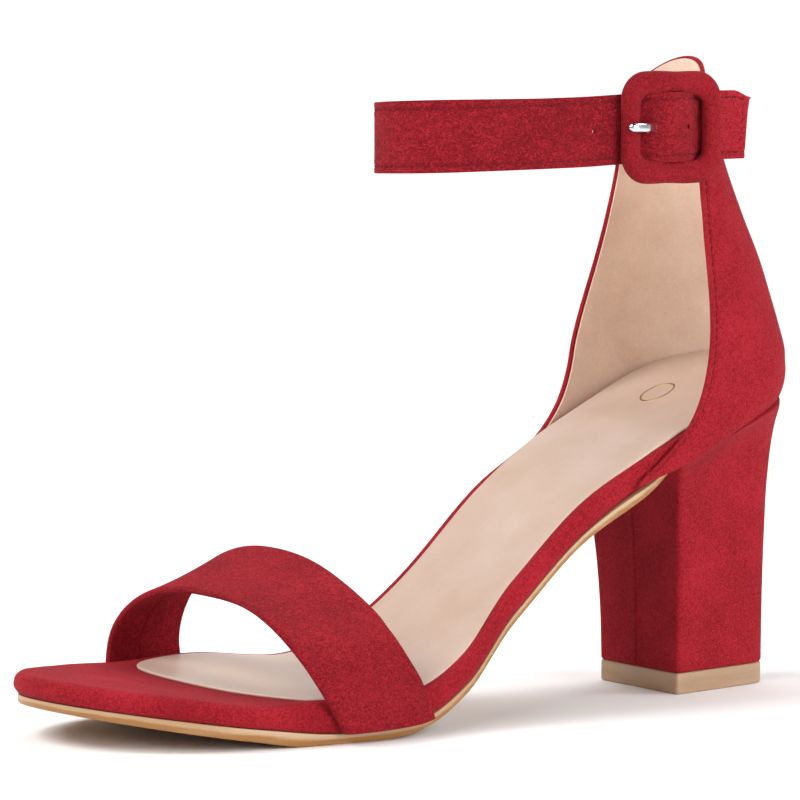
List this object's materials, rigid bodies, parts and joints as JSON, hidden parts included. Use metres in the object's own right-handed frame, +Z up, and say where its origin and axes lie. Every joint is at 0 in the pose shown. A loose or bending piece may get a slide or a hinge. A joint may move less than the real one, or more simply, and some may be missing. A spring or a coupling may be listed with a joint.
{
  "type": "block heel sandal",
  "caption": "Open-toe block heel sandal with a wide vamp band, a closed heel counter and a buckled ankle strap, left shoe.",
  "frame": {"origin": "middle of the heel's foot on the floor", "axes": "+Z up, -X towards the toe, +X towards the back of the heel, -Y towards the outer (buckle) side, +Y towards the inner side"},
  "size_m": [0.2235, 0.0802, 0.1686],
  "materials": {
    "crimson_suede": "short brushed nap",
    "crimson_suede_cover": "short brushed nap",
    "nude_sock_lining": "smooth satin imitation leather",
    "tan_sole_unit": "smooth satin edge",
    "tan_heel_rubber": "smooth satin",
    "polished_steel": "polished nickel plating"
  },
  "bodies": {
    "root": {"outsole": "tan_sole_unit", "footbed_platform": "crimson_suede_cover", "insole_sock": "nude_sock_lining", "heel_block": "crimson_suede_cover", "heel_top_piece": "tan_heel_rubber", "vamp_band": "crimson_suede", "heel_counter_and_ankle_strap": "crimson_suede", "buckle_chape": "crimson_suede", "buckle_frame": "crimson_suede_cover", "buckle_prong": "polished_steel"}
  },
  "joints": []
}
